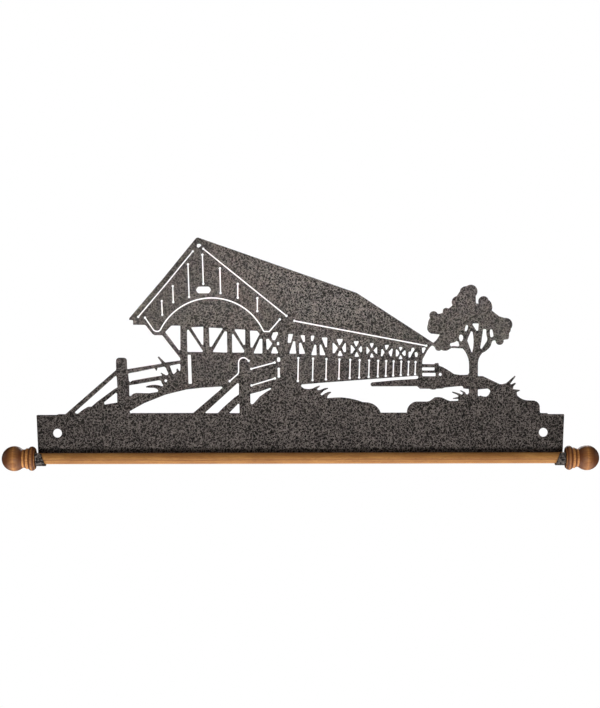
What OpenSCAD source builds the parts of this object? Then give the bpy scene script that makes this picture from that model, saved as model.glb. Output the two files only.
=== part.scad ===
// Wall hanger for a quilt or banner: a sheet-steel header, cut out as a
// country scene with a covered bridge, and a wooden rod with turned finials
// that lies in two hooks bent from the lower corners of the header.
//
// Frame: X runs along the rod, Z is up and the front faces -Y. The origin is
// on the back face, halfway between the two screw holes.
// The scene is drawn on a sheet of its own: x from the middle of the plate,
// z from the plate's lower edge. It scales with the width of the plate.

/* [Plate] */
// Width of the steel plate over its upper corners
plate_w = 607; // [480:1:760]
// Height of the plain band, up to the ground line of the scene
ground_h = 44.5; // [38:0.5:60]
// Thickness of the steel sheet
plate_t = 1.9; // [1.2:0.1:3]
// How far each lower corner is set in from the upper one
end_taper = 1.9; // [0:0.1:3]
// Diameter of the screw holes
hole_d = 10.2; // [6:0.1:13]
// Distance from a screw hole to the end of the plate
hole_inset = 24.1; // [16:0.1:34]
// Height of the screw holes above the lower edge
hole_z = 23.5; // [14:0.1:30]

/* [Cut lines] */
// Width of the lines that are cut through the sheet
line_w = 1.4; // [1:0.1:2.2]
// Diameter of the round ends of the cut lines
line_end_d = 2.7; // [2.2:0.1:3.6]
// Radius of the corners of the cut windows
corner_r = 0.9; // [0.2:0.1:1.4]

/* [Hooks] */
// Width of a hook under the rod
hook_w = 11.1; // [8:0.1:16]
// Width of a hook at its tip
hook_tip_w = 6.6; // [5:0.1:8]
// Inner radius of the bend below the plate
hook_bend_r = 3; // [1:0.1:4]
// Clearance between the rod and the hook
hook_gap = 0.35; // [0.1:0.05:1]
// Height of the rod's top, and of the hook's tip, above the plate's lower edge
rod_rise = 1.65; // [0:0.05:4]

/* [Rod] */
// Diameter of the dowel
dowel_d = 12.7; // [10:0.1:16]
// Clearance between the finials and the wall
wall_gap = 2.25; // [1:0.05:8]
// Clearance between a finial and the outer edge of its hook
finial_gap = 0.6; // [0.3:0.05:3]

/* [Finials] */
// Diameter of the ball
ball_d = 28.5; // [23:0.1:36]
// Diameter of the round collar
collar_d = 27.8; // [22:0.1:34]
// Width of the round collar
collar_w = 7.8; // [6:0.1:10]
// Diameter of the step beside the collar
step_d = 23.6; // [22.6:0.1:26]
// Distance from the inner flank to the end of the step
step_end = 10.2; // [9:0.1:12]
// Diameter of the neck
neck_d = 21; // [19:0.1:22]
// Distance from the inner flank to the end of the neck
neck_end = 14.4; // [13.5:0.1:18]
// Radius of the cove between the step and the neck
cove_r = 3; // [1:0.1:4]
// Depth of the socket that takes the dowel
socket_depth = 14; // [8:0.1:16]
// Clearance of the dowel in its socket
socket_gap = 0.05; // [0.02:0.01:0.1]

/* [Hidden] */
$fn = 96;

steel_colour = [0.27, 0.25, 0.24];
dowel_colour = [0.66, 0.43, 0.24];
finial_colour = [0.47, 0.27, 0.16];

// The sheet on which the scene is drawn: its width and its ground line
sheet_w = 607;
sheet_ground = 44.5;
fit = plate_w / sheet_w;

// Cut lines keep their own width on a scaled sheet
sheet_line_w = line_w / fit;
sheet_end_d = line_end_d / fit;
sheet_corner_r = corner_r / fit;

// Length of the straight steps that follow an arc, and steps in a corner
arc_step = 1.5;
corner_steps = 3;
// A corner that is opener than this is part of a curve and stays as it is
smooth_angle = 150;

// The rod's axis, in the plane across the rod, and the ends of the plate
hook_edge_x = plate_w / 2 - end_taper;
dowel_y = -(max(ball_d, collar_d) / 2 + wall_gap);
dowel_z = rod_rise - dowel_d / 2;
flank_x = hook_edge_x + finial_gap;
dowel_len = 2 * (flank_x + socket_depth);

// ---------------------------------------------------------------- outlines

function unit(v) = v / norm(v);

// Points from p to q along an arc that rises s to the left of its way, or
// p alone if s is 0; q itself is left out
function arc_points(p, q, s) =
    s == 0 ? [p] :
    let (
        chord = norm(q - p),
        side = sign(s),
        along = unit(q - p),
        across = [-along.y, along.x],
        half = 2 * atan(2 * abs(s) / chord),
        r = chord / (2 * sin(half)),
        centre = (p + q) / 2 + across * (s - side * r),
        steps = max(3, ceil(2 * half * PI / 180 * r / arc_step))
    )
    [for (i = [0 : steps - 1])
        let (a = half * (2 * i / steps - 1))
        centre + r * (sin(a) * along + side * cos(a) * across)];

// A closed outline from entries [x, z] or [x, z, rise of the arc that follows]
function outline(entries) =
    [for (i = [0 : len(entries) - 1])
        let (
            p = entries[i],
            q = entries[(i + 1) % len(entries)],
            s = len(p) > 2 ? p[2] : 0
        )
        each arc_points([p.x, p.y], [q.x, q.y], s)];

// The corner at b, between a and c, with a fillet that fits both sides
function corner_points(a, b, c, r) =
    let (
        u = unit(a - b),
        v = unit(c - b),
        half = acos(max(-1, min(1, u * v))) / 2
    )
    2 * half > smooth_angle ? [b] :
    let (
        reach = min(r / tan(half), 0.45 * min(norm(a - b), norm(c - b))),
        fillet = reach * tan(half),
        centre = b + unit(u + v) * fillet / sin(half),
        from = b + u * reach - centre,
        to = b + v * reach - centre,
        start = atan2(from.y, from.x),
        turn = (atan2(to.y, to.x) - start + 540) % 360 - 180
    )
    [for (i = [0 : corner_steps])
        centre + fillet * [
            cos(start + turn * i / corner_steps),
            sin(start + turn * i / corner_steps)
        ]];

function rounded(points, r) =
    let (n = len(points))
    [for (i = [0 : n - 1])
        each corner_points(
            points[(i + n - 1) % n], points[i], points[(i + 1) % n], r)];

// One side of a ribbon along a path, at a signed distance d, mitred
function ribbon_side(path, d) =
    [for (i = [0 : len(path) - 1])
        let (
            before = i == 0 ? path[1] - path[0] : path[i] - path[i - 1],
            after = i == len(path) - 1 ? before : path[i + 1] - path[i],
            m = unit(unit(before) + unit(after)),
            across = [-m.y, m.x]
        )
        path[i] + across * d / (m * unit(after))];

function reversed(list) = [for (i = [len(list) - 1 : -1 : 0]) list[i]];

// A window or an outline on the sheet, with its corners rounded
module window(entries, r = sheet_corner_r) {
    polygon(rounded(outline(entries), r));
}

// A line cut along a path, with a round end at each end of it
module cut_line(path, w = sheet_line_w, end_d = sheet_end_d) {
    polygon(concat(ribbon_side(path, w / 2), reversed(ribbon_side(path, -w / 2))));
    for (p = [path[0], path[len(path) - 1]])
        translate(p)
            circle(d = end_d);
}

// ------------------------------------------- the silhouette, left to right
// Each stretch runs clockwise. A positive third value bulges outwards.

left_end_edge = [
    [-303.5, 44.5], [-280, 44.5], [-278.5, 45.4], [-270.2, 45.4]
];

left_fence_edge = [
    // rail up to the round-topped post
    [-212, 96.1], [-212, 106.5, 1.2], [-208, 110.2], [-203.5, 110.2, 1.2], [-199.5, 106.5],
    // rail on to the portal, with a blade of grass across it
    [-199.2, 97], [-159, 103.5], [-164.2, 110.8], [-162.9, 111.7], [-155.5, 104.6],
    [-137.9, 107]
];

gable_edge = [
    // brace, foot of the portal frame and eave
    [-138.3, 109.8], [-158.8, 135.9], [-167.6, 136], [-169.8, 137.3], [-177.6, 147.1],
    [-179.2, 147.9], [-192.3, 148], [-192.5, 153.4], [-197.2, 153.7], [-196.3, 156],
    [-157.3, 201.7], [-119.3, 248.1], [-117, 248.2]
];

roof_edge = [
    [65.2, 184.2], [153.2, 126.7]
];

foliage_edge = [
    // left side and top of the crown
    [157, 130.4], [160.9, 136.3], [151, 137.2, 2.6], [146.9, 147.4, 0.6],
    [149.4, 155.6, 5.3], [158, 160.2, -0.6], [164.2, 161.8, 2.9], [170.6, 166.1],
    [175.3, 169.9, 3], [180.2, 180.5], [183.7, 185.8, 2], [191.4, 191.7, 7.2],
    [201.9, 180.6], [202.4, 171.9], [205.4, 171.9, 6.4], [216.7, 176, 2.2],
    // right side of the crown
    [220.3, 163.8], [229, 157], [235.2, 155.2, 5], [242.2, 142.6, 0.6],
    [240.1, 137.5, 0.6], [239.1, 130.7], [233.8, 130, 5.3], [224.8, 128.9, -0.8],
    // outer branch and trunk
    [220.6, 128.2], [219.2, 123.3, 1], [209.5, 115, -1], [204.4, 104], [204.2, 88.4]
];

right_mound_edge = [
    [210, 88.3], [215.5, 85.7], [229.2, 79.2], [231.8, 78.9], [236.8, 80.1],
    // three blades of grass
    [246.9, 88.9], [247.7, 87.9], [241.2, 79.2], [242.7, 78.7], [247.3, 80.8],
    [248.1, 79.6], [245.3, 76.8], [244.4, 73.3], [252.7, 72.4], [252.4, 71.3],
    [248.8, 69.7],
    // slope and shoulder of the mound
    [249.4, 66.2, -1.6], [262.5, 60.4], [268.5, 60.1, 2.2], [275.4, 51.5]
];

right_end_edge = [
    [275.6, 45.8], [284, 45.6], [285.3, 44.5], [303.5, 44.5]
];

scene_edge = concat(
    left_end_edge, left_fence_edge, gable_edge, roof_edge,
    foliage_edge, right_mound_edge, right_end_edge);

// A point of the sheet on the plate: the ground line keeps its height
function on_plate(p) = [p.x * fit, ground_h + (p.y - sheet_ground) * fit];

module silhouette() {
    top = [for (p = outline(scene_edge)) on_plate(p)];
    polygon(rounded(
        concat(top, [[hook_edge_x, 0], [-hook_edge_x, 0]]), corner_r));
}

// ------------------------------------------------- windows and cut lines

module left_fence_windows() {
    // between the two sloping rails
    window([
        [-259.2, 47.9], [-212.6, 89.3], [-211.2, 88.2], [-210.4, 76.1], [-214.5, 73.8],
        [-235, 58.7], [-240, 54.1], [-244.5, 53.8], [-250, 50.5], [-256, 45.9],
        [-259, 46.2]
    ]);
    // under the lower rail
    window([
        [-225.8, 58.9], [-212.4, 69.8], [-210.8, 69.1], [-210.6, 58.6], [-219, 57.4],
        [-225.4, 56.2]
    ]);
    // between the level rails, up to the grass at the portal
    window([
        [-198.1, 91.3], [-197.2, 92.3], [-190, 93.4], [-167.6, 98], [-166.2, 95.6],
        [-165, 94.9], [-164.4, 98.4], [-156.5, 99.7], [-154.6, 98.2], [-151.9, 92],
        [-152.6, 90], [-155, 90.2], [-160.3, 93.1], [-160.7, 92.1], [-158.2, 89.7],
        [-170, 88], [-193.5, 83.8], [-195.6, 82.2], [-197.1, 83.3]
    ]);
    // under the lower level rail, around a leaf
    window([
        [-196.9, 78.4], [-190, 79.4], [-163, 84.1], [-160.3, 83.6], [-159.2, 80.4],
        [-157.6, 78.2], [-158.7, 77.3], [-160, 77.6, -1.7], [-177.8, 77], [-177.4, 76],
        [-174.5, 75.6], [-168.5, 75.4, 0.7], [-163.4, 72.4], [-164.2, 70.8], [-174, 69.3],
        [-189, 69.7], [-192.5, 68.6], [-195, 66.1], [-196.7, 66.4]
    ]);
    // at the portal's corner, around a blade of grass
    window([
        [-150.3, 100.7], [-138.8, 103.1], [-137.9, 101.5], [-137.9, 97], [-138.4, 94.8],
        [-139.6, 95], [-141, 97.9], [-142.6, 97.2], [-142.3, 94.3], [-144, 92.5],
        [-145.8, 91.1], [-147.3, 93], [-148.6, 96.5]
    ]);
    // between two tufts
    translate([-154.8, 83.6])
        circle(d = 3.2);
}

module road_windows() {
    // the road that leads into the portal
    window([
        [-196.4, 48.6], [-180, 57.7], [-155, 67.6], [-131, 73.5], [-112, 75.5],
        [-91.5, 76.7], [-89, 75.9], [-123.2, 46.5], [-193.5, 46.5], [-196, 46.1]
    ]);
    // between the rails on its right side
    window([
        [-109.4, 47], [-72.4, 80.6], [-70.7, 80], [-70.7, 67.7], [-76, 64.1],
        [-88, 53.4], [-95, 46.3], [-108.6, 46.3]
    ]);
    window([[-81.6, 46.7], [-71.4, 57.1], [-70.2, 56.4], [-69.9, 46.3], [-81, 46.3]]);
    // outline of the round-topped post
    cut_line(concat(
        [[-81.2, 83], [-76.3, 87.3], [-71.9, 91.2], [-71, 93.5]],
        [for (a = [180 : -15 : 45]) [-65.4, 104.4] + 5.6 * [cos(a), sin(a)]],
        [[-59.4, 106.4]]));
    // between the level rails of the fence beside the bridge
    cut_line([[-56.4, 97.1], [-29.6, 104.3]]);
    cut_line([[-56.1, 78], [-29.3, 86.1]]);
    window([
        [-57.6, 68.2], [-46, 71.1], [-34.6, 75.2], [-33.3, 74.1], [-40, 70.2],
        [-46.5, 65.5], [-53.8, 57.2], [-55.8, 56.2], [-57.4, 57.6]
    ]);
    // gaps in the corner board of the bridge
    cut_line([[-24.9, 108.6], [-24.9, 106.9]], 3.6, 3.6);
    cut_line([[-24.8, 97], [-24.7, 88.4]], 2.4, 3);
}

// Centre and radius of the arch over the portal
arch_centre = [-102, 113.1];
arch_r = 65.7;

module gable_cuts() {
    // along the two rakes of the roof
    cut_line([[-186.5, 157.1], [-153.3, 196], [-123.5, 232.5]]);
    cut_line([[-111.4, 235.4], [-15.8, 158]]);
    // peak ornament and name board
    window([
        [-118.9, 237.6], [-117, 236.5], [-113.3, 239.2], [-115.2, 241.1], [-118.4, 240.9]
    ]);
    window([
        [-120.2, 188], [-117.4, 191.8], [-105, 191.8], [-102.2, 188], [-105, 184.2],
        [-117.4, 184.2]
    ], 2.4);
    // joints between the boards: x at the top, top z, x at the bottom, bottom z
    for (joint = [
            [-159.3, 175.4, -158.7, 159.5],
            [-146.6, 192.5, -146, 174.1],
            [-129, 217.5, -127.8, 179.9],
            [-112.4, 228.5, -111.4, 195],
            [-92.3, 212.8, -91.6, 184.4],
            [-71.8, 194.9, -71.8, 179],
            [-49.3, 178.3, -49.3, 163.5]
        ])
        cut_line([[joint[0], joint[1]], [joint[2], joint[3]]]);
    // edge of the portal: corner brackets and the arch between them
    cut_line(concat(
        [[-178.6, 156.2], [-168.6, 141.8], [-166, 140.5], [-163, 140.5], [-161.6, 141.6]],
        [for (a = [154 : -4 : 26]) arch_centre + arch_r * [cos(a), sin(a)]],
        [[-41.6, 140.1], [-35.6, 140], [-23.6, 153.9]]));
}

module portal_windows() {
    // the lattice seen inside the portal, from the left brace to the far wall
    for (opening = [
            [[-155.4, 139.6], [-149, 146.4], [-147.2, 147], [-137.9, 146.9],
             [-137.9, 118.8], [-139.8, 118.9]],
            [[-130.3, 142], [-128.4, 142.2], [-112, 117.8], [-112.4, 116.7], [-129.9, 116.8]],
            [[-125.9, 145.1], [-111.5, 145.6], [-111.5, 125], [-113.2, 125]],
            [[-105.1, 144.7], [-88.9, 143.7], [-101.7, 123], [-104.2, 122.5]],
            [[-86.9, 140.5], [-84.3, 139.9], [-84.2, 115.9], [-101, 116.6]],
            [[-78.5, 136.9], [-76.8, 137.1], [-64.4, 118.2], [-64.8, 115.9], [-78.3, 115.9]],
            [[-76.1, 142.8], [-63.4, 142.2], [-63.4, 124.8], [-65.4, 124.8]],
            [[-57.9, 141.2], [-49.5, 140.7], [-46.8, 137.1], [-54.9, 121.6], [-57.2, 121.8]],
            [[-46.6, 131.6], [-43.6, 131.7], [-43.6, 114.8], [-53.9, 114.9]],
            [[-39.2, 131.3], [-36.6, 131.7], [-32.2, 126], [-36.9, 119.3], [-38.7, 119.4]],
            [[-31.2, 122.1], [-28.2, 122.1], [-25.2, 114.9], [-33.7, 114.9]],
            [[-31.2, 138.9], [-25.8, 139.4], [-25.7, 137], [-29, 130], [-31.6, 130.1],
             [-33.1, 133.6]],
            [[-26.9, 127.9], [-24.3, 127.9], [-24.3, 124.3], [-26.9, 124.3]]
        ])
        window(opening);
    // gap beside the corner post
    window([[-129.6, 113.4], [-125.9, 113.4], [-124.7, 80.1], [-128.7, 80.1]]);
}

// The bays of the side wall: the first have one slanting bar each, the others
// crossed bars, and the last two are seen only in part
wall_openings = [
    [[-13.6, 137.1], [-8.1, 137.1], [-10.9, 127.1], [-14.5, 127.1]],
    [[-8.1, 128.7], [-6, 128.7], [-4.7, 114.6], [-12.7, 114.7]],
    [[0, 135.9], [5.2, 135.5], [5.3, 128], [3.5, 127.9]],
    [[-1.2, 126.9], [0.9, 127], [5.8, 114.3], [-1.2, 114.4]],
    [[12.2, 135.1], [16.5, 135.2], [14.7, 129.1], [12.6, 129.2]],
    [[16.4, 124.9], [18.3, 124.5], [18.9, 112.8], [12.6, 112.9]],
    [[24.6, 133.1], [31.1, 133], [30.7, 121.8], [28.9, 121.8]],
    [[22.4, 124.8], [24.1, 124.9], [29, 112.7], [22.5, 112.8]],
    // first crossed bay: top, left, right, bottom
    [[41.7, 131.2], [49, 131.2], [48.4, 129], [45.6, 124.2], [44.6, 124.2]],
    [[37.3, 126.7], [38.5, 126.7], [43.3, 121.3], [39.4, 115], [37.3, 115]],
    [[52.3, 126.6], [51.2, 126.4], [48.1, 121], [50, 116.3], [52.5, 116.1]],
    [[42.7, 111.8], [49.1, 111.8], [46.4, 117.6], [45.2, 117.7]],
    // second
    [[61.2, 128.7], [67.8, 128.7], [64.8, 122.7], [64, 122.7]],
    [[58.2, 124.1], [59.1, 124.1], [63, 119.5], [59.5, 114.7], [58.1, 114.8]],
    [[70, 123.4], [71, 121.8], [71, 117], [69.3, 115.5], [67, 119.6]],
    [[62.2, 110.8], [67.9, 110.8], [65.4, 116.1], [64.4, 116.1]],
    // third
    [[79.7, 126.4], [84.9, 126.4], [82.6, 121.2], [81.7, 121.2]],
    [[76.2, 121.9], [77.2, 121.9], [80.1, 118], [77.3, 114.2], [76.2, 114.3]],
    [[88.4, 121.7], [88.5, 114.4], [87.4, 114.2], [84.2, 118.1], [87.6, 121.8]],
    [[79.9, 110], [84.9, 110], [82.8, 114.6], [81.8, 114.6]],
    // fourth: no opening at the bottom
    [[97.1, 124.3], [102.5, 124.3], [99.6, 118.9], [98.6, 118.9]],
    [[93.5, 119.5], [94.9, 119.5], [97, 115.8], [94.3, 111.3], [92.8, 111.5]],
    [[106.6, 119.9], [105.2, 120], [101.5, 116.3], [103.5, 111.3], [105.1, 111.2]],
    // fifth
    [[113.2, 122], [118, 122], [115.8, 117.6], [115, 117.6]],
    [[110.1, 119.2], [111.4, 119.1], [114.1, 115.1], [111.9, 111.1], [110, 111.3]],
    [[120.1, 118.3], [121.2, 117.3], [121.3, 112.8], [119.8, 111.3], [116.6, 114.8]],
    [[113, 108.1], [118, 108.1], [115.9, 112.4], [115, 112.4]],
    // the last two
    [[124.6, 116.5], [127.3, 116.6], [128.2, 120.6], [130.4, 121.2], [131.7, 119.2],
     [128.6, 114], [126.6, 109.9], [124.6, 110]],
    [[131.6, 115.3], [133.6, 116.4], [135.4, 114.4], [134.8, 110.6], [132.3, 110.5]],
    [[140, 120.8], [143, 121.6], [144.6, 120.5], [142, 115.1], [140.3, 115.2]]
];

// Middles of the joints between the boards of the side wall, which get
// closer and shorter as the wall leads away
board_joints = [-2.5, 14.4, 29.8, 44.7, 57.2, 68, 79, 89.4, 98.6, 107.1, 115.9, 124.4, 132.3];
function joint_top(x) = 109.3 - 0.036 * x;
function joint_bottom(x) = 83.2 + 0.056 * x;

module side_wall_cuts() {
    // under the eave
    cut_line([[-6.7, 152.2], [145, 123.4]]);
    for (opening = wall_openings)
        window(opening);
    for (x = board_joints)
        cut_line([[x + 0.3, joint_top(x)], [x - 0.3, joint_bottom(x)]]);
}

module stream_window() {
    window([
        // under the sill of the wall and round the end of the gap
        [1.1, 79], [30, 81.3], [134, 88.8, 1.7], [134.2, 85.3],
        // the far bank
        [110, 83.9], [83, 81.4, -1.8], [82.3, 76.7], [134.4, 76.8], [137.6, 73.9],
        [149, 73.8, -1], [157, 73.9], [163.4, 74.1], [166, 75.2], [180, 76.5],
        [186.6, 76.9], [187.6, 74.1], [194, 73.4],
        // three blades of grass against the trunk
        [193.9, 68.8], [192.3, 67.2], [190.7, 67.6], [189.4, 70], [184.1, 72.4],
        [183.9, 71.2], [187, 69.2], [186.4, 67.3], [184.9, 67.1], [183.3, 68.3],
        [174.7, 70.8], [174.6, 69.4], [179.6, 67.4], [182.1, 65.6], [181.4, 64.5],
        [175.5, 63.2], [175.6, 62.1], [181.6, 62.1], [181.9, 60],
        // the near bank, with the bed of the stream in it
        [172, 59.8], [168, 61.3], [163, 63.8, -0.5], [154.5, 63.9], [149.5, 60.2],
        [146, 59.2], [133.5, 59.2, -3.2], [122.5, 46.5], [92.3, 46.5, -2.6],
        [78, 58.2], [71.5, 58.8, -0.9], [47.5, 64.1, -0.3], [31.2, 63.2],
        // three blades of grass at the foot of the bridge
        [30.7, 64.2], [32.2, 67], [35.5, 69.6], [35.3, 70.7], [31.3, 70.3],
        [28, 68.6], [24.7, 66.4], [22.9, 67.6], [27, 71.7], [32, 74.1],
        [31.8, 75.2], [27.8, 74.8], [23.5, 72.9], [20.6, 72.4], [19, 73.7],
        [22.5, 76.7], [22.3, 77.8], [18, 76.4], [14, 74.4, 0.6], [4, 74.5],
        [1.2, 76.6]
    ]);
}

module tree_windows() {
    // between the bridge, the bank and the trunk
    window([
        [151.6, 123.6], [153.6, 122.9], [155, 121, -2.3], [162.3, 118.7, -1.7],
        [172.2, 119.8], [174, 120.7], [186.8, 120.2, 1.6], [194.2, 103], [194.2, 92],
        [192.8, 89.9], [184, 89.7], [177, 90.7], [172, 94], [164.5, 98.6],
        [159.4, 100.5], [158.9, 103.6], [155.3, 103.4], [154.2, 102.2], [140.2, 102.4],
        [140.8, 108], [146, 117.5], [149.5, 122]
    ]);
    // between the branches
    for (opening = [
            [[190.4, 146.3], [192.3, 147.6], [193.1, 145.6], [192.4, 142.2], [191, 139.8],
             [189.1, 140.6]],
            [[197.9, 148], [199.2, 149], [205.4, 148.8], [204.8, 141], [202.9, 140.4]],
            [[196.6, 140, 0.6], [198.6, 137.6, 1.2], [197.9, 115.8], [197, 115.8],
             [192.2, 129], [193.4, 133]],
            [[210.4, 142.3], [214, 142.2], [214.2, 136.5], [215.2, 131.5], [214.6, 128.4],
             [208.8, 119.8], [207.2, 120.1], [207.3, 122.5], [208.6, 129]],
            [[218.5, 142.2], [220.9, 141.8], [221.7, 138.5], [222.4, 134.4], [220.2, 132.7],
             [218.7, 133.7], [218.2, 138]],
            [[185, 136.2], [187.2, 134.7], [187.4, 131], [185.6, 128], [183.6, 128.9],
             [182.5, 132.2], [183.2, 135.4]],
            [[172.6, 126], [177.8, 127.3], [179.6, 128.7], [181.9, 128], [183, 124.3],
             [182.2, 122.6], [176.5, 123.1], [173.2, 122.5], [172.2, 124]]
        ])
        window(opening);
    // in the mound on the right
    window([
        [204.2, 73], [215.6, 73.9], [217.9, 72.3], [218.6, 70.5], [216.5, 66.5],
        [214, 64.7], [210.5, 64.9], [207.5, 65.9], [204.2, 65.1]
    ]);
}

module far_fence_windows() {
    window([[140.1, 98.4], [154.5, 98.4], [154.5, 95], [140.1, 95]]);
    window([[140.2, 92.1], [155.7, 92.1], [155.7, 88.3], [140.4, 88.3]]);
    translate([161, 90.3])
        circle(d = 3.5);
}

// The plate's outline with the scene cut out of it
module plate_outline() {
    difference() {
        silhouette();
        translate([0, ground_h - sheet_ground * fit])
            scale(fit) {
                left_fence_windows();
                road_windows();
                gable_cuts();
                portal_windows();
                side_wall_cuts();
                stream_window();
                tree_windows();
                far_fence_windows();
            }
        for (side = [-1, 1])
            translate([side * (plate_w / 2 - hole_inset), hole_z])
                circle(d = hole_d);
    }
}

// From drawings on the plate to the frame of the whole hanger
module upright() {
    translate([0, 0, -hole_z])
        rotate([90, 0, 0])
            children();
}

module header_plate() {
    color(steel_colour)
        upright()
            linear_extrude(plate_t)
                plate_outline();
}

// ------------------------------------------------------------------- hooks

// Section of a hook across the rod: a bend below the plate, a straight
// stretch, a wrap under the rod and a short upright tip in front of it
rod_axis = [dowel_y, dowel_z];
wrap_r = dowel_d / 2 + hook_gap;
bend_centre = [-plate_t - hook_bend_r, 0];
to_axis = rod_axis - bend_centre;
// How steeply the straight stretch runs down, touching both curves, and the
// direction from either centre to it
strap_slope = asin((wrap_r - hook_bend_r) / norm(to_axis)) - atan2(to_axis.y, -to_axis.x);
strap_normal = strap_slope - 90;
section_step = 5;

function ring_arc(centre, r, from, to) =
    let (steps = ceil(abs(to - from) / section_step))
    [for (i = [0 : steps])
        let (a = from + (to - from) * i / steps)
        centre + r * [cos(a), sin(a)]];

function hook_side(offset) = concat(
    ring_arc(bend_centre, hook_bend_r + offset, 0, strap_normal),
    ring_arc(rod_axis, wrap_r + offset, strap_normal, -180),
    [[dowel_y - wrap_r - offset, rod_rise]]);

module hook_section() {
    polygon(concat(hook_side(0), reversed(hook_side(plate_t))));
}

// Cuts the inner edge of the tip on a slant
module tip_taper() {
    low = dowel_z - wrap_r;
    upright()
        linear_extrude(2 * abs(dowel_y))
            polygon([
                [hook_edge_x - hook_w - 1, low],
                [hook_edge_x - hook_w, low],
                [hook_edge_x - hook_tip_w, rod_rise],
                [hook_edge_x - hook_tip_w, rod_rise + 1],
                [hook_edge_x - hook_w - 1, rod_rise + 1]
            ]);
}

module hook_right() {
    color(steel_colour)
        difference() {
            translate([hook_edge_x - hook_w, 0, -hole_z])
                rotate([90, 0, 90])
                    linear_extrude(hook_w)
                        hook_section();
            translate([0, dowel_y, 0])
                tip_taper();
        }
}

module hook_left() {
    mirror([1, 0, 0])
        hook_right();
}

// --------------------------------------------------------------------- rod

module along_rod() {
    translate([0, dowel_y, dowel_z - hole_z])
        rotate([0, 90, 0])
            children();
}

module dowel() {
    color(dowel_colour)
        along_rod()
            cylinder(d = dowel_d, h = dowel_len, center = true);
}

// Half section of a finial: radius across, distance from the inner flank up
module finial_section() {
    bead_r = collar_w / 2;
    neck_r = neck_d / 2;
    step_r = step_d / 2;
    ball_r = ball_d / 2;
    ball_x = neck_end + sqrt(ball_r * ball_r - neck_r * neck_r);
    cove_x = step_end + sqrt(cove_r * cove_r - pow(neck_r + cove_r - step_r, 2));
    difference() {
        union() {
            square([collar_d / 2 - bead_r, collar_w]);
            translate([collar_d / 2 - bead_r, bead_r])
                circle(r = bead_r);
            difference() {
                square([step_r, cove_x]);
                translate([neck_r + cove_r, cove_x])
                    circle(r = cove_r);
            }
            square([neck_r, ball_x]);
            intersection() {
                translate([0, ball_x])
                    circle(r = ball_r);
                translate([0, ball_x - ball_r])
                    square(2 * ball_r);
            }
        }
        translate([-1, -1])
            square([1 + dowel_d / 2 + socket_gap, 1 + socket_depth]);
    }
}

module finial_right() {
    color(finial_colour)
        along_rod()
            translate([0, 0, flank_x])
                rotate_extrude()
                    finial_section();
}

module finial_left() {
    mirror([1, 0, 0])
        finial_right();
}

header_plate();
hook_left();
hook_right();
dowel();
finial_left();
finial_right();
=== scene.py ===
# %% [markdown]
# # A quilt hanger with a covered bridge scene
# The object is a hanger for a quilt or banner. A flat steel header, cut by a
# laser into a country scene, is screwed to the wall. A strap hook is bent
# forward from each of its lower corners, and a wooden rod with a turned finial
# on each end lies in the two hooks.
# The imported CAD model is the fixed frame: one Blender unit is one metre, +X runs
# along the rod, +Y points into the wall and +Z points up. Everything below
# takes its place from that frame.

import math

import bmesh
import bpy
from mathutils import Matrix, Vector


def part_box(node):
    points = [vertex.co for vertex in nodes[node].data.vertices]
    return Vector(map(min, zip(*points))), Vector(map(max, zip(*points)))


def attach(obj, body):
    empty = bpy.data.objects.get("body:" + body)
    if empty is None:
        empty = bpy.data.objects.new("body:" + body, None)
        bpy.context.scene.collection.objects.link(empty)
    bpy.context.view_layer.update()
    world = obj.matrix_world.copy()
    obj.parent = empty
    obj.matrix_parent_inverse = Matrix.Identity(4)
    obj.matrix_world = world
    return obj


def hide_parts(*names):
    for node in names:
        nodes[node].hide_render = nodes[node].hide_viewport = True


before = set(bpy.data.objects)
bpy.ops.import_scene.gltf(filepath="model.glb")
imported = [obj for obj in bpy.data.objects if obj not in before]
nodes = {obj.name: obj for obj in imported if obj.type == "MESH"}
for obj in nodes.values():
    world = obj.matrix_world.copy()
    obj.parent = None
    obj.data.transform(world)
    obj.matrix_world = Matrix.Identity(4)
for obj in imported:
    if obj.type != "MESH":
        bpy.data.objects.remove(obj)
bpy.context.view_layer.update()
scene = bpy.context.scene

# %% [markdown]
# Later cells need a few places: the header's box and the line of the rod. They
# are measured on the frame once, here, so that the script still fits if the
# model is made in another size.

# %% Measure the frame
mm = 0.001
plate_low, plate_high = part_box("header_plate")
rod_low, rod_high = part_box("dowel")
rod_axis = (rod_low + rod_high) / 2
print("plate %.0f x %.0f mm, rod %.1f mm thick" % (
    (plate_high.x - plate_low.x) / mm, (plate_high.z - plate_low.z) / mm,
    (rod_high.z - rod_low.z) / mm))

# %% [markdown]
# ## The camera
# The hanger is seen straight on, from a little under two metres away, with a
# lens that is longer than normal, as in a catalogue. The camera could be aimed
# with a constraint, but a fixed place and rotation say the same with less. It
# stands level with a point above the ground line of the scene, so it looks
# down a little on the rod. The hanger hangs a tenth of a degree out of level,
# and the camera's roll gives that without moving the model.

# %% Camera
VIEW_DISTANCE = 1.77
VIEW_HEIGHT = 0.0906
VIEW_SIDEWAYS = -0.0003
PICTURE_HEIGHT = 0.8142
HANGING_TILT = 0.1
camera_data = bpy.data.cameras.new("catalogue_camera")
camera_data.lens = camera_data.sensor_width * VIEW_DISTANCE / PICTURE_HEIGHT
camera = bpy.data.objects.new("catalogue_camera", camera_data)
scene.collection.objects.link(camera)
camera.location = (VIEW_SIDEWAYS, plate_low.y - VIEW_DISTANCE, VIEW_HEIGHT)
camera.rotation_euler = (math.radians(90), math.radians(HANGING_TILT), 0)
scene.camera = camera
print("lens %.1f mm" % camera_data.lens)

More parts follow.
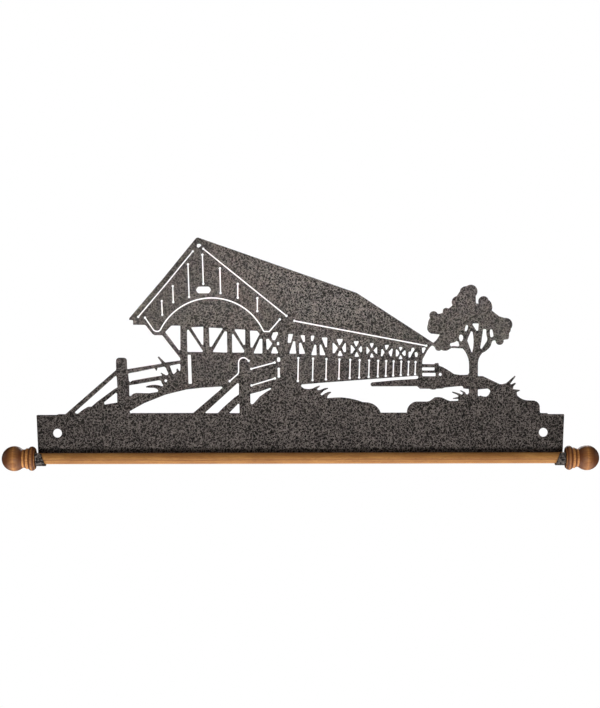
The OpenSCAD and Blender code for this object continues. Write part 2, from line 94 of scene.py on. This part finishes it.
# %% [markdown]
# ## The bent steel header
# On the real object the plate and its two hooks are one piece of sheet steel:
# the outline is cut flat, the straps at the lower corners are bent forward,
# and then the whole piece is powder coated. The frame holds it as three
# solids that meet face to face at the bend. Three objects with one material
# would show a line there, so a union joins copies of them into one skin.
# The flat faces come in as many triangles. A limited dissolve turns them back
# into whole faces, so that the next step finds clean edges.

# %% Join the plate and its hooks
WELD_GAP = 0.001 * mm
FLAT_WITHIN = math.radians(0.3)


def welded_copy(node):
    shape = bmesh.new()
    shape.from_mesh(nodes[node].data)
    bmesh.ops.remove_doubles(shape, verts=shape.verts, dist=WELD_GAP)
    mesh = bpy.data.meshes.new(node + "_copy")
    shape.to_mesh(mesh)
    shape.free()
    copy = bpy.data.objects.new(node + "_copy", mesh)
    scene.collection.objects.link(copy)
    return copy


def joined_sheet(first, *others):
    base = welded_copy(first)
    copies = [base] + [welded_copy(other) for other in others]
    for copy in copies[1:]:
        join = base.modifiers.new("join", "BOOLEAN")
        join.operation = "UNION"
        join.solver = "EXACT"
        join.object = copy
    skin = bmesh.new()
    skin.from_object(base, bpy.context.evaluated_depsgraph_get())
    for copy in copies:
        bpy.data.meshes.remove(copy.data)
    bmesh.ops.dissolve_limit(
        skin, angle_limit=FLAT_WITHIN, verts=skin.verts, edges=skin.edges)
    return skin


sheet_skin = joined_sheet("header_plate", "hook_left", "hook_right")
print("joined sheet:", len(sheet_skin.verts), "corners,", len(sheet_skin.faces), "faces")

# %% [markdown]
# Powder flows a little as it is baked, so it leaves no knife edge: each cut
# edge ends up with a small radius that catches the light. A bevel over every
# edge sharper than 40 degrees makes it. The edges between the short flats of a
# curve are opener than that, so they stay as they are, and weighted normals
# then shade curves as smooth and large faces as flat.

# %% Round the cut edges
COAT_RADIUS = 0.25 * mm
SHARP_FROM = math.radians(40)
cut_edges = [
    edge for edge in sheet_skin.edges
    if edge.is_manifold and edge.calc_face_angle() > SHARP_FROM]
bmesh.ops.bevel(
    sheet_skin, geom=cut_edges, offset=COAT_RADIUS, offset_type="OFFSET",
    segments=2, profile=0.5, affect="EDGES", clamp_overlap=False)
for face in sheet_skin.faces:
    face.smooth = True
header_mesh = bpy.data.meshes.new("bent_header")
sheet_skin.to_mesh(header_mesh)
sheet_skin.free()
header = bpy.data.objects.new("bent_header", header_mesh)
scene.collection.objects.link(header)
even_shading = header.modifiers.new("even_shading", "WEIGHTED_NORMAL")
even_shading.weight = 80
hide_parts("header_plate", "hook_left", "hook_right")
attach(header, "header")
print("rounded", len(cut_edges), "edges,", len(header_mesh.polygons), "faces")

# %% [markdown]
# ## Small helpers for materials
# A material is a graph of nodes. These helpers add a node with its values set
# and join it to others in one call, so that each cell below shows what the
# material does and not how a graph is wired.

# %% Node helpers
def add(tree, kind, values=None, **settings):
    node = tree.nodes.new(kind)
    for name, value in settings.items():
        setattr(node, name, value)
    for name, value in (values or {}).items():
        if isinstance(value, bpy.types.NodeSocket):
            tree.links.new(value, node.inputs[name])
        else:
            node.inputs[name].default_value = value
    return node


def maths(tree, operation, a, b=0.0, clamp=False):
    return add(
        tree, "ShaderNodeMath", {0: a, 1: b},
        operation=operation, use_clamp=clamp).outputs[0]


def blended(tree, factor, a, b):
    node = add(tree, "ShaderNodeMix", data_type="RGBA")
    for place, value in ((0, factor), (6, a), (7, b)):
        if isinstance(value, bpy.types.NodeSocket):
            tree.links.new(value, node.inputs[place])
        else:
            node.inputs[place].default_value = value
    return node.outputs[2]


def remapped(tree, value, low, high, to_low=0.0, to_high=1.0):
    return add(tree, "ShaderNodeMapRange", {
        "Value": value, "From Min": low, "From Max": high,
        "To Min": to_low, "To Max": to_high}).outputs[0]


def stretched(tree, position, factors):
    return add(
        tree, "ShaderNodeVectorMath", {0: position, 1: factors},
        operation="MULTIPLY").outputs[0]


def group_with(name, inputs, outputs):
    tree = bpy.data.node_groups.new(name, "ShaderNodeTree")
    for label, kind, value in inputs:
        socket = tree.interface.new_socket(label, in_out="INPUT", socket_type=kind)
        if value is not None:
            socket.default_value = value
    for label, kind in outputs:
        tree.interface.new_socket(label, in_out="OUTPUT", socket_type=kind)
    return tree, tree.nodes.new("NodeGroupInput").outputs, tree.nodes.new("NodeGroupOutput").inputs


def new_material(name):
    material = bpy.data.materials.new(name)
    material.use_nodes = True
    tree = material.node_tree
    tree.nodes.clear()
    surface = add(tree, "ShaderNodeBsdfPrincipled")
    output = add(tree, "ShaderNodeOutputMaterial")
    tree.links.new(surface.outputs[0], output.inputs["Surface"])
    return material, tree, surface, add(tree, "ShaderNodeTexCoord").outputs


print("node helpers are ready")

# %% [markdown]
# ## The powder coat
# The coat is a vein finish: black powder with a little bright metal in it. As
# it bakes it draws together into small dark grains, a millimetre or two across,
# with brighter, slightly raised veins between them. It could be painted as
# random dots, but the veins wind and join up, and that is what makes the
# finish look like itself. Where a smooth noise passes through its middle
# value, it makes just such winding lines. Squaring a line narrows it. Two sizes
# of line are added, and a slow third noise makes some places a little brighter.

# %% Vein group
def make_vein_group():
    tree, given, out = group_with(
        "vein_coat",
        [("Position", "NodeSocketVector", None),
         ("Grains per metre", "NodeSocketFloat", 345.0),
         ("Vein width", "NodeSocketFloat", 0.12)],
        [("Veins", "NodeSocketFloat"), ("Patches", "NodeSocketFloat")])
    layers = []
    for size, weight in ((1.0, 1.0), (1.8, 0.35)):
        scale = maths(tree, "MULTIPLY", given["Grains per metre"], size)
        wave = add(tree, "ShaderNodeTexNoise", {
            "Vector": given["Position"], "Scale": scale, "Detail": 1.0,
            "Roughness": 0.5, "Distortion": 0.3}).outputs[0]
        away = maths(tree, "ABSOLUTE", maths(tree, "SUBTRACT", wave, 0.5))
        line = maths(
            tree, "SUBTRACT", 1.0,
            maths(tree, "DIVIDE", away, given["Vein width"]), clamp=True)
        layers.append(maths(tree, "MULTIPLY", maths(tree, "POWER", line, 2.0), weight))
    veins = maths(tree, "ADD", layers[0], layers[1], clamp=True)
    patches = add(tree, "ShaderNodeTexNoise", {
        "Vector": given["Position"], "Scale": 130.0, "Detail": 2.0}).outputs[0]
    tree.links.new(veins, out["Veins"])
    tree.links.new(patches, out["Patches"])
    return tree


vein_group = make_vein_group()
print("group:", vein_group.name)

# %% [markdown]
# The veins hold the metal flakes, so they are lighter and nearly as metallic as
# bare steel, and they stand a few hundredths of a millimetre proud. The grains
# between them are close to black. A dull gloss over the grains would turn them
# grey under a broad light, so their specular level is kept low, and the veins
# alone answer the lamps.

# %% Coated steel
GRAIN_COLOUR = (0.003, 0.0026, 0.0024, 1)
VEIN_COLOUR = (0.16, 0.137, 0.125, 1)
VEIN_RISE = 0.06 * mm


def make_coated_steel():
    material, tree, surface, place = new_material("vein_powder_coat")
    coat = add(tree, "ShaderNodeGroup", {"Position": place["Object"]}, node_tree=vein_group)
    bright = maths(
        tree, "MULTIPLY", coat.outputs["Veins"],
        remapped(tree, coat.outputs["Patches"], 0.3, 0.7, 0.85, 1.0))
    tree.links.new(
        blended(tree, bright, GRAIN_COLOUR, VEIN_COLOUR), surface.inputs["Base Color"])
    surface.inputs["Specular IOR Level"].default_value = 0.06
    tree.links.new(
        maths(tree, "MULTIPLY", bright, 0.85), surface.inputs["Metallic"])
    tree.links.new(
        maths(tree, "ADD", maths(tree, "MULTIPLY", bright, -0.1), 0.5),
        surface.inputs["Roughness"])
    bump = add(tree, "ShaderNodeBump", {
        "Height": coat.outputs["Veins"], "Distance": VEIN_RISE})
    tree.links.new(bump.outputs[0], surface.inputs["Normal"])
    return material


coated_steel = make_coated_steel()
header_mesh.materials.append(coated_steel)
print("material:", coated_steel.name)

# %% [markdown]
# ## The wood
# The rod is a birch dowel with a honey-brown stain, and the finials are turned
# from blanks with a darker, redder stain. Both show the same things: growth
# rings cut lengthwise into streaks, fine fibres, and short dark pores, all
# running along the rod. A flat streaky picture could be wrapped round the
# dowel, but a solid texture, which fills space as wood does, also gives right
# rings on the ends and curved figure on the balls, so the group makes one.
# Its rings lie round a pith line beside the piece.
# The group also tells end grain from side grain. Where a turned surface faces
# along the rod, the fibres are cut across and drink more stain. The mask is also
# kept narrow so that it paints a highlight into the colour: a ball is light in a
# band round its middle and dark towards both sides, and the collar and the neck
# each have a light line, where a front light would shine on them.

# %% Wood group
def make_wood_group():
    tree, given, out = group_with(
        "stained_wood",
        [("Position", "NodeSocketVector", None),
         ("Surface direction", "NodeSocketVector", None),
         ("Pith", "NodeSocketVector", None),
         ("Rings per metre", "NodeSocketFloat", 500.0),
         ("Ring waver", "NodeSocketFloat", 0.003)],
        [("Rings", "NodeSocketFloat"), ("Fibres", "NodeSocketFloat"),
         ("Pores", "NodeSocketFloat"), ("End grain and painted highlight", "NodeSocketFloat"),
         ("Patches", "NodeSocketFloat")])
    across = stretched(tree, given["Position"], (0.0, 1.0, 1.0))
    offset = add(tree, "ShaderNodeVectorMath", {0: across, 1: given["Pith"]},
                 operation="SUBTRACT").outputs[0]
    radius = add(tree, "ShaderNodeVectorMath", {0: offset},
                 operation="LENGTH").outputs["Value"]
    drift = add(tree, "ShaderNodeTexNoise", {
        "Vector": stretched(tree, given["Position"], (0.12, 1.0, 1.0)),
        "Scale": 60.0, "Detail": 3.0}).outputs[0]
    waver = maths(tree, "MULTIPLY", drift, given["Ring waver"])
    turns = maths(tree, "MULTIPLY", maths(tree, "ADD", radius, waver),
                  given["Rings per metre"])
    within = maths(tree, "FRACT", turns)
    rings = maths(tree, "MULTIPLY", within, within)
    fibres = add(tree, "ShaderNodeTexNoise", {
        "Vector": stretched(tree, given["Position"], (0.05, 1.0, 1.0)),
        "Scale": 1500.0, "Detail": 3.0, "Roughness": 0.6}).outputs[0]
    specks = add(tree, "ShaderNodeTexNoise", {
        "Vector": stretched(tree, given["Position"], (0.12, 1.0, 1.0)),
        "Scale": 2200.0, "Detail": 1.0}).outputs[0]
    pores = remapped(tree, specks, 0.6, 0.7)
    along = add(tree, "ShaderNodeVectorMath", {
        0: given["Surface direction"], 1: (1.0, 0.0, 0.0)},
        operation="DOT_PRODUCT").outputs["Value"]
    # Real end grain, narrowed so that it also paints a highlight band on the turned parts.
    end_grain_and_painted_highlight = remapped(tree, maths(tree, "ABSOLUTE", along), 0.0, 0.5)
    patches = add(tree, "ShaderNodeTexNoise", {
        "Vector": stretched(tree, given["Position"], (0.35, 1.0, 1.0)),
        "Scale": 60.0, "Detail": 2.0}).outputs[0]
    tree.links.new(maths(tree, "POWER", end_grain_and_painted_highlight, 0.5), out["End grain and painted highlight"])
    tree.links.new(patches, out["Patches"])
    tree.links.new(rings, out["Rings"])
    tree.links.new(fibres, out["Fibres"])
    tree.links.new(pores, out["Pores"])
    return tree


wood_group = make_wood_group()
print("group:", wood_group.name)

# %% [markdown]
# The dowel and the finials are stained alike and get one recipe with their own
# colours. It goes from light early wood to dark late wood, then adds fibre
# streaks, slow patches, the soaked end grain with its painted highlight band and
# shade, and the pores, in that order, as each lies over the last. The finish is
# an oil or satin varnish: a mild gloss, a little uneven along the fibres. The CAD
# nodes keep their own meshes, since a dowel and a turned finial already have
# their full shape there. Only their material slots are filled.

# %% Dowel and finial finishes
LATE_WOOD, STREAKS, STAIN_PATCHES, PORE_STAIN = 0.8, 0.6, 0.4, 0.45
FIBRE_RISE = 0.03 * mm


def make_stained_wood(name, pith, rings, light, dark, soaked_and_shaded, pore, roughness, varnish):
    material, tree, surface, place = new_material(name)
    wood = add(tree, "ShaderNodeGroup", {
        "Position": place["Object"], "Surface direction": place["Normal"],
        "Pith": pith, "Rings per metre": rings}, node_tree=wood_group)
    figure = blended(
        tree, maths(tree, "MULTIPLY", wood.outputs["Rings"], LATE_WOOD), light, dark)
    streaks = remapped(tree, wood.outputs["Fibres"], 0.3, 0.7, 0.0, STREAKS)
    fibrous = blended(tree, streaks, figure, dark)
    patches = remapped(tree, wood.outputs["Patches"], 0.42, 0.6, 0.0, STAIN_PATCHES)
    patchy = blended(tree, patches, fibrous, dark)
    # Darker end grain: partly real stain, partly painted shade beside a painted highlight band.
    ends_with_painted_highlight = blended(tree, wood.outputs["End grain and painted highlight"], patchy, soaked_and_shaded)
    colour = blended(
        tree, maths(tree, "MULTIPLY", wood.outputs["Pores"], PORE_STAIN), ends_with_painted_highlight, pore)
    tree.links.new(colour, surface.inputs["Base Color"])
    tree.links.new(
        maths(tree, "ADD", maths(tree, "MULTIPLY", wood.outputs["Fibres"], 0.15), roughness),
        surface.inputs["Roughness"])
    surface.inputs["Specular IOR Level"].default_value = 0.3
    surface.inputs["Coat Weight"].default_value = varnish
    surface.inputs["Coat Roughness"].default_value = 0.3
    height = maths(tree, "SUBTRACT", maths(tree, "MULTIPLY", wood.outputs["Fibres"], 0.4),
                   wood.outputs["Pores"])
    bump = add(tree, "ShaderNodeBump", {
        "Height": height, "Distance": FIBRE_RISE, "Strength": 0.6})
    tree.links.new(bump.outputs[0], surface.inputs["Normal"])
    return material


dowel_finish = make_stained_wood(
    "honey_stained_dowel",
    pith=(0.0, rod_axis.y + 20 * mm, rod_axis.z - 14 * mm), rings=420.0,
    light=(0.66, 0.33, 0.092, 1), dark=(0.27, 0.09, 0.021, 1),
    soaked_and_shaded=(0.11, 0.04, 0.014, 1), pore=(0.09, 0.03, 0.01, 1),
    roughness=0.45, varnish=0.0)
finial_finish = make_stained_wood(
    "walnut_stained_finial",
    pith=(0.0, rod_axis.y - 30 * mm, rod_axis.z - 20 * mm), rings=330.0,
    light=(0.80, 0.365, 0.097, 1), dark=(0.40, 0.145, 0.038, 1),
    soaked_and_shaded=(0.15, 0.048, 0.015, 1), pore=(0.05, 0.016, 0.006, 1),
    roughness=0.42, varnish=0.05)
for node, finish in (
        ("dowel", dowel_finish), ("finial_left", finial_finish),
        ("finial_right", finial_finish)):
    nodes[node].material_slots[0].material = finish
    print(node, "has", finish.name)

# %% [markdown]
# ## The studio
# A white background comes from the world. The camera sees it as plain white, but
# it hardly lights the scene, because an even glow from all sides would fill the
# dark line above the rod. A light path node tells the two apart.

# %% World
AMBIENT = 0.02


def make_world():
    world = bpy.data.worlds.new("white_surround")
    world.use_nodes = True
    tree = world.node_tree
    tree.nodes.clear()
    seen = add(tree, "ShaderNodeLightPath").outputs["Is Camera Ray"]
    fill = add(tree, "ShaderNodeBackground", {"Color": (1, 1, 1, 1), "Strength": AMBIENT})
    plain = add(tree, "ShaderNodeBackground", {"Color": (1, 1, 1, 1), "Strength": 1.0})
    either = add(tree, "ShaderNodeMixShader", {0: seen})
    tree.links.new(fill.outputs[0], either.inputs[1])
    tree.links.new(plain.outputs[0], either.inputs[2])
    output = add(tree, "ShaderNodeOutputWorld")
    tree.links.new(either.outputs[0], output.inputs["Surface"])
    return world


scene.world = make_world()
scene.view_settings.view_transform = "Standard"
print("world:", scene.world.name)

# %% [markdown]
# A pale round floor lies well below the hanger, too low for the catalogue view
# and there for every other view. A disc is used and not a square, so that no
# corner shows from any side. The lamps are aimed at the hanger and leave the
# floor grey, so its paint glows faintly and it looks as pale as it is.

# %% Floor
FLOOR_DROP = 0.8
FLOOR_RADIUS = 1.3
FLOOR_GLOW = 0.3
floor_shape = bmesh.new()
bmesh.ops.create_circle(floor_shape, cap_ends=True, segments=96, radius=FLOOR_RADIUS)
floor_mesh = bpy.data.meshes.new("pale_floor")
floor_shape.to_mesh(floor_mesh)
floor_shape.free()
floor = bpy.data.objects.new("pale_floor", floor_mesh)
floor.location = (0, 0, plate_low.z - FLOOR_DROP)
scene.collection.objects.link(floor)
floor_paint, _, floor_surface, _ = new_material("pale_floor_paint")
floor_surface.inputs["Base Color"].default_value = (0.8, 0.8, 0.79, 1)
floor_surface.inputs["Roughness"].default_value = 0.9
floor_surface.inputs["Emission Color"].default_value = (1, 1, 1, 1)
floor_surface.inputs["Emission Strength"].default_value = FLOOR_GLOW
floor_mesh.materials.append(floor_paint)
print("floor %.1f m below the plate" % FLOOR_DROP)

# %% [markdown]
# The main light comes from in front and below: a wide, low panel behind the
# camera. It throws the rod's shadow upwards on the plate, as a narrow dark band.
# A second panel lies flat just above the floor and stands for light that comes
# back from a white table. It brightens the underside of the rod, the hooks and
# the finials and barely reaches the upright plate. A weak one high above does
# the same for their upper sides, and the coated plate turns its light away to
# the floor. Another has a narrow beam and washes only the bridge and the tree,
# which are lighter than the ground strip below them. The rest, at the sides and
# behind the hanger, serve the other views.
# Lamps could be points, but broad panels give the soft edges of a studio. They
# are hidden from the camera, so that no panel shows from any side.

# %% Lights
def soft_panel(name, place, aim, width, height, power, beam=180):
    light = bpy.data.lights.new(name, "AREA")
    light.shape = "RECTANGLE"
    light.size, light.size_y = width, height
    light.energy = power
    light.spread = math.radians(beam)
    panel = bpy.data.objects.new(name, light)
    panel.location = place
    direction = Vector(aim) - Vector(place)
    panel.rotation_euler = direction.to_track_quat("-Z", "Y").to_euler()
    panel.visible_camera = False
    scene.collection.objects.link(panel)
    print(name, power, "W")


soft_panel("low_key", (0, -2.0, -0.55), (0, 0, 0), 1.5, 0.44, 22)
soft_panel("floor_bounce", (0, -0.2, plate_low.z - 0.7), (0, -0.2, 0), 2.0, 0.9, 8)
soft_panel("top_light", (0, -0.5, 1.6), (0, 0, 0), 1.4, 0.5, 4)
soft_panel("roof_wash", (0, -1.9, 0.75), (0, 0, 0.15), 0.9, 0.1, 0.44, beam=9)
for side, name in ((-1, "left_light"), (1, "right_light")):
    soft_panel(name, (2.2 * side, 0.4, 0.5), (0, 0, 0), 0.8, 0.8, 3)
soft_panel("back_light", (0.3, 1.8, 0.9), (0, 0, 0), 1.0, 0.8, 20)
